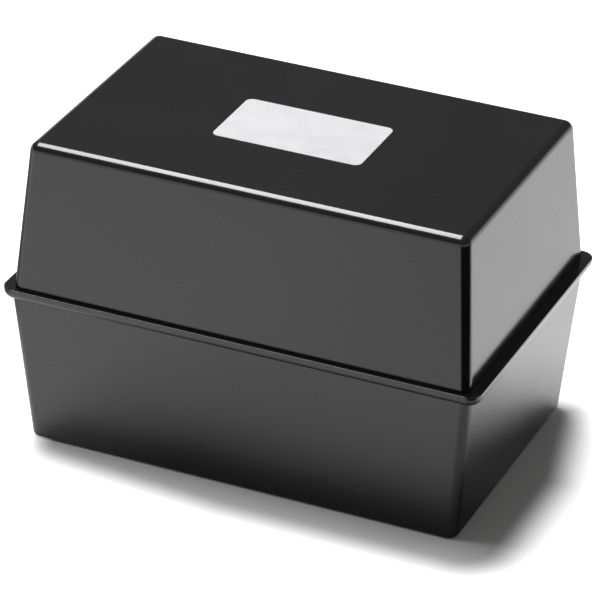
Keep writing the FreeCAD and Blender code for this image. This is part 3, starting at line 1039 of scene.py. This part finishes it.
@dataclass
class LidShell:
    """Upper moulding: drafted walls, round top edge, lip, and arms with the hinge knuckles."""

    hinge: HingeLine
    base: BaseShell
    body_name: str = "lid"
    node_name: str = "lid_shell"
    taper: Pair = (4.4 * MM, 5.02 * MM)
    wall: float = 2.7 * MM
    roof: float = 2.2 * MM
    corner: float = 3.3 * MM
    inner_corner: float = 1.5 * MM
    edge_round: float = 3.0 * MM
    foot_round: float = 0.7 * MM
    inner_round: float = 1.2 * MM
    lip_depth: float = 2.0 * MM
    lip_play: float = 0.7 * MM
    lip_thickness: float = 0.8 * MM
    arm_gap: float = 0.3 * MM
    arm_thickness: float = 2.3 * MM
    arm_round: float = 1.8 * MM
    heel_reach: float = 3.0 * MM
    heel_turn: float = math.radians(10)
    bore_play: float = 0.08 * MM
    ejector_radius: float = 3.5 * MM
    ejector_inset: Pair = (22.0 * MM, 18.0 * MM)

    def __post_init__(self) -> None:
        """Takes the lid's mouth from the base and its height from the frame."""
        self.ledge = self.base.ledge
        self.top_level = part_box(self.node_name)[1][2]
        self.mouth = tuple(side - 2 * self.base.lid_setback for side in self.base.top)
        self.top = tuple(side - 2 * lean for side, lean in zip(self.mouth, self.taper))

    def side_at(self, height: float) -> Pair:
        """Width and depth of the outer walls at a height."""
        share = (height - self.ledge) / (self.top_level - self.ledge)
        return tuple(low + (high - low) * share for low, high in zip(self.mouth, self.top))

    def outside(self) -> bpy.types.Object:
        """The solid outer form."""
        lid = add_block("lid_moulding", self.mouth, self.top, (self.ledge, self.top_level))
        round_edges(lid, is_upright, self.corner, Facets.BROAD)
        round_edges(lid, is_level(self.top_level), self.edge_round, Facets.BROAD)
        round_edges(lid, is_level(self.ledge), self.foot_round, Facets.LOW)
        return lid

    def cavity(self) -> bpy.types.Object:
        """The solid that the inside is cut with."""
        below, ceiling = self.ledge - self.base.overrun, self.top_level - self.roof
        inner = [tuple(side - 2 * self.wall for side in self.side_at(height)) for height in (below, ceiling)]
        core = add_block("cavity", inner[0], inner[1], (below, ceiling))
        round_edges(core, is_upright, self.inner_corner, Facets.MIDDLE)
        round_edges(core, is_level(ceiling), self.inner_round, Facets.SMALL)
        return core

    def lip(self) -> bpy.types.Object:
        """The thin ring that drops into the base's mouth."""
        inset = self.base.wall + self.lip_play
        outer = tuple(side - 2 * inset for side in self.base.top)
        inner = tuple(side - 2 * self.lip_thickness for side in outer)
        low, high = self.ledge - self.lip_depth, self.ledge + self.base.overrun / 2
        ring = add_block("lip", outer, outer, (low, high))
        round_edges(ring, is_upright, self.inner_corner + self.lip_thickness, Facets.MIDDLE)
        hole = add_block("hole", inner, inner, (low - self.base.overrun, high + self.base.overrun))
        round_edges(hole, is_upright, self.inner_corner, Facets.MIDDLE)
        combine(ring, hole, Join.CUT)
        round_edges(ring, is_level(low), self.lip_thickness / 3, Facets.HAIR)
        return ring

    def knuckle(self) -> bpy.types.Object:
        """The arm, barrel and heel of one hinge, about the middle of the box's width."""
        hinge = self.hinge
        reach, heel = hinge.barrel_radius, self.heel_reach
        cosine, sine = math.cos(self.heel_turn), math.sin(self.heel_turn)
        axis = (hinge.back, hinge.height)

        def turned(along: float, up: float) -> Pair:
            """A place on the heel, turned round the pin."""
            return axis[0] + along * cosine - up * sine, axis[1] + along * sine + up * cosine

        root, back = self.mouth[1] / 2 - self.wall / 2, hinge.back + reach
        under, over = self.ledge + self.arm_gap, self.ledge + self.arm_gap + self.arm_thickness
        heel_back = turned(reach, -heel)
        up_the_heel = (heel_back[0] - back) / sine * cosine
        side_view = [(root, under), (hinge.back - reach, under)]
        side_view += arc(axis, reach, 180, 270 + math.degrees(self.heel_turn), Facets.HEEL)
        side_view += [turned(0.0, -heel), heel_back, (back, heel_back[1] + up_the_heel)]
        side_view += arc((back - self.arm_round, over - self.arm_round), self.arm_round, 0, 90, Facets.MIDDLE)
        side_view += [(root, over)]
        knuckle = add_prism("knuckle", side_view, hinge.knuckle_width, 0.0)
        bore_width = hinge.knuckle_width + 2 * self.base.overrun
        bore = add_rod("bore", hinge.pin_radius + self.bore_play, bore_width, (0, *axis))
        combine(knuckle, bore, Join.CUT)
        return knuckle

    def add_tool_marks(self, lid: bpy.types.Object) -> None:
        """Sinks the round marks of the ejector pins in the roof's inside."""
        ceiling, depth = self.top_level - self.roof, self.base.ejector_depth
        for across in (-1, 1):
            for along in (-1, 1):
                centre = (
                    across * (self.top[0] / 2 - self.ejector_inset[0]),
                    along * (self.top[1] / 2 - self.ejector_inset[1]),
                )
                mark = add_disc("mark", self.ejector_radius, (ceiling - depth, ceiling + depth), centre)
                combine(lid, mark, Join.CUT)

    def build(self, plastic: bpy.types.Material) -> bpy.types.Object:
        """Models the shell, dresses it and puts it in the place of its plain solid.

        Args:
            plastic: the shell's material.

        Returns:
            The finished shell.
        """
        lid = self.outside()
        knuckle = self.knuckle()
        for side in (-1, 1):
            combine(lid, copy_of(knuckle, "arm", (side * self.hinge.spread, 0, 0)), Join.ADD)
        bpy.data.objects.remove(knuckle)
        combine(lid, self.cavity(), Join.CUT)
        combine(lid, self.lip(), Join.ADD)
        self.add_tool_marks(lid)
        smooth(lid, SMOOTH_TURN)
        dress(lid, plastic)
        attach(lid, self.body_name)
        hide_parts(self.node_name)
        return lid


@dataclass
class LidLabel:
    """Blank stick-on label on the lid's top."""

    body_name: str = "lid"
    node_name: str = "lid_label"
    corner: float = 2.6 * MM
    edge_round: float = 0.06 * MM

    def build(self, paper: bpy.types.Material) -> bpy.types.Object:
        """Models the label from a flat sheet and sticks it on the lid.

        Args:
            paper: the label's material.

        Returns:
            The finished label.
        """
        low, high = (Vector(corner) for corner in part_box(self.node_name))
        deselect_all()
        bpy.ops.mesh.primitive_plane_add(size=1.0)
        label = name_active("label_sheet")
        with editing(label):
            bpy.ops.mesh.select_all(action="SELECT")
            bpy.ops.transform.resize(value=(high.x - low.x, high.y - low.y, 1))
            bpy.ops.mesh.bevel(offset=self.corner, segments=Facets.BROAD, affect="VERTICES")
            bpy.ops.mesh.select_all(action="SELECT")
            bpy.ops.mesh.extrude_region_move(TRANSFORM_OT_translate={"value": (0, 0, high.z - low.z)})
        label.data.transform(Matrix.Translation(((low.x + high.x) / 2, (low.y + high.y) / 2, low.z)))
        with editing(label):
            bpy.ops.mesh.select_all(action="SELECT")
            bpy.ops.mesh.normals_make_consistent(inside=False)
        round_edges(label, is_level(high.z), self.edge_round, Facets.HAIR)
        smooth(label, SMOOTH_TURN)
        dress(label, paper)
        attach(label, self.body_name)
        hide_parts(self.node_name)
        return label


@dataclass
class GuideSet:
    """Lettered guide cards: board for the cards, ink for the letters on their tabs."""

    lean: float = math.radians(2)
    tab_count: int = 5
    card_height: float = 101.6 * MM
    tab_height: float = 6.0 * MM
    letter_size: float = 5.0 * MM
    letter_drop: float = 0.4 * MM
    ink_thickness: float = 0.02 * MM
    joints: dict[str, Point] = field(default_factory=dict)

    def __post_init__(self) -> None:
        """Finds each card's foot, which is where its joint is."""
        for joint in frame["joints"]:
            if joint["child"].startswith("guide_"):
                self.joints[joint["child"]] = tuple(joint["pos_m"])

    def print_letter(self, place: int, body: str, ink: bpy.types.Material) -> bpy.types.Object:
        """Prints a card's letters on the front of its tab.

        Args:
            place: the card's place from the front.
            body: the body that the card is.
            ink: the letters' material.

        Returns:
            The letters, as a thin mesh.
        """
        name = body.removeprefix("guide_")
        deselect_all()
        bpy.ops.object.text_add()
        text = bpy.context.active_object
        text.data.body = "-".join(name.upper())
        text.data.size = self.letter_size
        text.data.align_x = "CENTER"
        text.data.align_y = "CENTER"
        text.data.extrude = self.ink_thickness / 2
        text.data.resolution_u = 4
        bpy.ops.object.convert(target="MESH")
        letters = name_active("letter_" + name)

        low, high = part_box("guide_card_" + name)
        pitch = (high[0] - low[0]) / self.tab_count
        across = (place % self.tab_count - (self.tab_count - 1) / 2) * pitch
        up = self.card_height + self.tab_height / 2 - self.letter_drop
        foot = Vector(self.joints[body])
        upright = Matrix.Rotation(math.pi / 2 - self.lean, 4, "X")
        spot = foot + Vector((across, up * math.sin(self.lean), up * math.cos(self.lean)))
        letters.data.transform(Matrix.Translation(spot) @ upright)
        dress(letters, ink)
        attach(letters, body)
        return letters

    def build(self, board: bpy.types.Material, ink: bpy.types.Material) -> list[bpy.types.Object]:
        """Dresses the cards and prints their letters.

        Args:
            board: the cards' material.
            ink: the letters' material.

        Returns:
            The letters of all cards.
        """
        printed = []
        for place, body in enumerate(self.joints):
            dress(frame["nodes"]["guide_card_" + body.removeprefix("guide_")], board)
            printed.append(self.print_letter(place, body, ink))
        return printed


@dataclass(frozen=True)
class DarkRoom:
    """The studio's dim room with a low white backdrop, which camera rays see as white all over."""

    name: str = "room"
    air: str = "#6A6A69"
    strength: float = 1.0
    backdrop_top: Pair = (0.2, 0.08)

    def build(self) -> bpy.types.World:
        """Makes the world and returns it."""
        world = bpy.data.worlds.new(self.name)
        world.use_nodes = True
        tree = world.node_tree
        tree.nodes.clear()
        heading = add_node(tree, "ShaderNodeTexCoord").outputs["Generated"]
        rise = add_node(tree, "ShaderNodeSeparateXYZ", {0: heading}).outputs["Z"]
        ray = add_node(tree, "ShaderNodeLightPath")
        low = add_node(
            tree, "ShaderNodeMath",
            {0: remap(tree, rise, self.backdrop_top, NONE_TO_ALL, True), 1: ray.outputs["Is Glossy Ray"]},
            operation="MULTIPLY",
        )
        white = add_node(
            tree, "ShaderNodeMath", {0: ray.outputs["Is Camera Ray"], 1: ray.outputs["Is Transmission Ray"]},
            operation="MAXIMUM",
        )
        white = add_node(
            tree, "ShaderNodeMath", {0: white.outputs[0], 1: low.outputs[0]}, operation="MAXIMUM"
        )
        tint = add_node(
            tree, "ShaderNodeMix",
            {"Factor": white.outputs[0], "A": colour(self.air), "B": WHITE}, data_type="RGBA",
        )
        back = add_node(
            tree, "ShaderNodeBackground", {"Color": tint.outputs["Result"], "Strength": self.strength}
        )
        add_node(tree, "ShaderNodeOutputWorld", {"Surface": back.outputs[0]})
        return world


@dataclass
class Studio:
    """Pale floor, soft lamp and the camera of the photograph."""

    floor_size: float = 6.0
    key_place: Point = (-0.40, 0.21, 1.15)
    key_size: Pair = (0.45, 1.1)
    key_power: float = 15.0
    camera_place: Point = (483.93 * MM, -1127.02 * MM, 724.04 * MM)
    camera_right: Point = (0.91437, 0.40442, 0.01955)
    camera_up: Point = (-0.21078, 0.43424, 0.87579)
    lens: float = 240.07
    sensor: float = 36.0

    def add_camera(self) -> None:
        """Puts the camera where the photograph was taken from."""
        data = bpy.data.cameras.new("camera")
        data.lens, data.sensor_width, data.sensor_fit = self.lens, self.sensor, "HORIZONTAL"
        camera = bpy.data.objects.new("camera", data)
        bpy.context.collection.objects.link(camera)
        right, up = Vector(self.camera_right), Vector(self.camera_up)
        turn = Matrix((right, up, right.cross(up))).transposed().to_4x4()
        camera.matrix_world = Matrix.Translation(self.camera_place) @ turn
        bpy.context.scene.camera = camera

    def add_lamp(self, name: str, place: Point, size: Pair, power: float) -> None:
        """Adds an oblong soft lamp that faces straight down.

        Args:
            name: the lamp's name.
            place: where it hangs.
            size: its sides along X and Y.
            power: its power.
        """
        data = bpy.data.lights.new(name, "AREA")
        data.shape = "RECTANGLE"
        data.size, data.size_y = size
        data.energy = power
        lamp = bpy.data.objects.new(name, data)
        bpy.context.collection.objects.link(lamp)
        lamp.matrix_world = Matrix.Translation(place)

    def build(self) -> None:
        """Sets the whole studio up."""
        deselect_all()
        bpy.ops.mesh.primitive_plane_add(size=self.floor_size)
        floor = name_active("studio_floor")
        dress(floor, SweepPaper().build())
        self.add_camera()
        self.add_lamp("key_lamp", self.key_place, self.key_size, self.key_power)

        bpy.context.scene.world = DarkRoom().build()
        bpy.context.scene.view_settings.view_transform = "Standard"


def main() -> None:
    """Builds the box and its studio, and reports each piece."""
    logging.basicConfig(level=logging.INFO, format="%(name)s: %(message)s")
    plastic = MouldedPolystyrene().build()
    hinge = HingeLine()
    base = BaseShell(hinge)
    lid = LidShell(hinge, base)
    pieces = [base.build(plastic), lid.build(plastic), LidLabel().build(LabelPaper().build())]
    pieces += GuideSet().build(GuideBoard().build(), PrintedInk().build())
    steel = DrawnSteel().build()
    for side in ("left", "right"):
        dress(frame["nodes"]["hinge_pin_" + side], steel)
    for piece in pieces:
        log.info("%s: %d faces", piece.name, len(piece.data.polygons))
    Studio().build()


if __name__ == "__main__":
    main()
